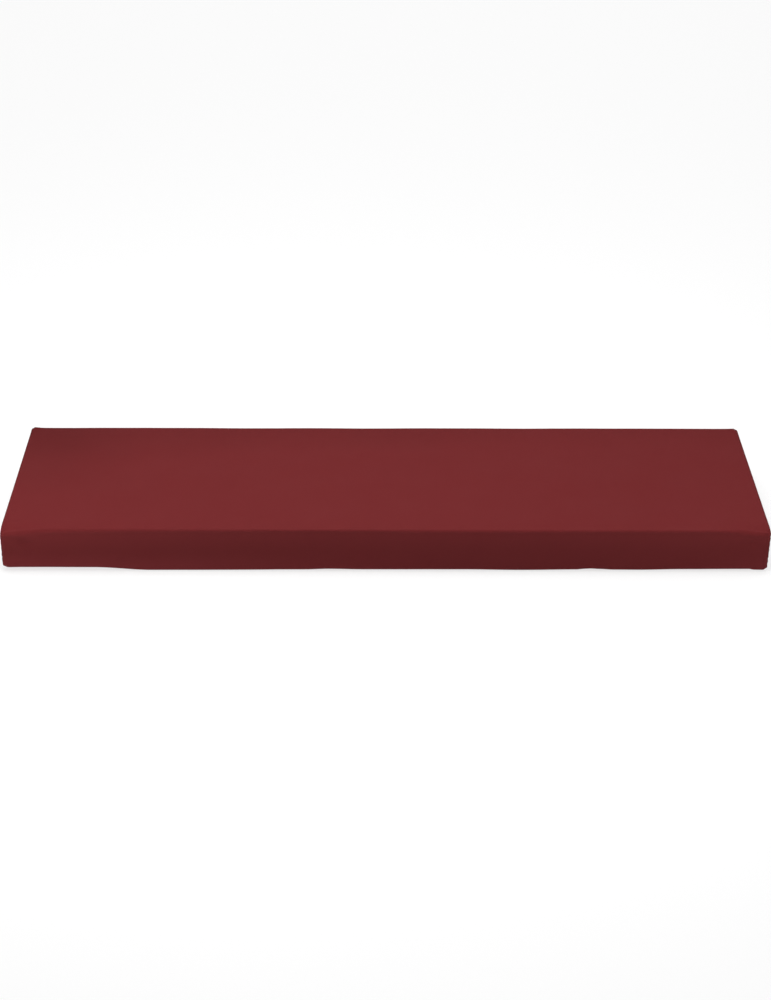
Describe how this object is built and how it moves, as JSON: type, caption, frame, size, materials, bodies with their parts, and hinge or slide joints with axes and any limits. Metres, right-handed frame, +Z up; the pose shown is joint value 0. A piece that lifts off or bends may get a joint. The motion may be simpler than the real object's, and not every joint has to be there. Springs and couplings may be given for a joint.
{
  "type": "keyboard dust cover",
  "caption": "Fitted stretch-cloth dust cover for a stage piano, with a flat sloping top, four falling sides and an in-turned elastic hem.",
  "frame": {"origin": "middle of the rectangle that the cover fills, at the height of the hem's lowest point", "axes": "+X along the length, +Y from the front to the back, +Z up"},
  "size_m": [1.124, 0.3337, 0.0855],
  "materials": {
    "cover_cloth": "matte deep red stretch knit"
  },
  "bodies": {
    "root": {"cover": "cover_cloth"}
  },
  "joints": []
}
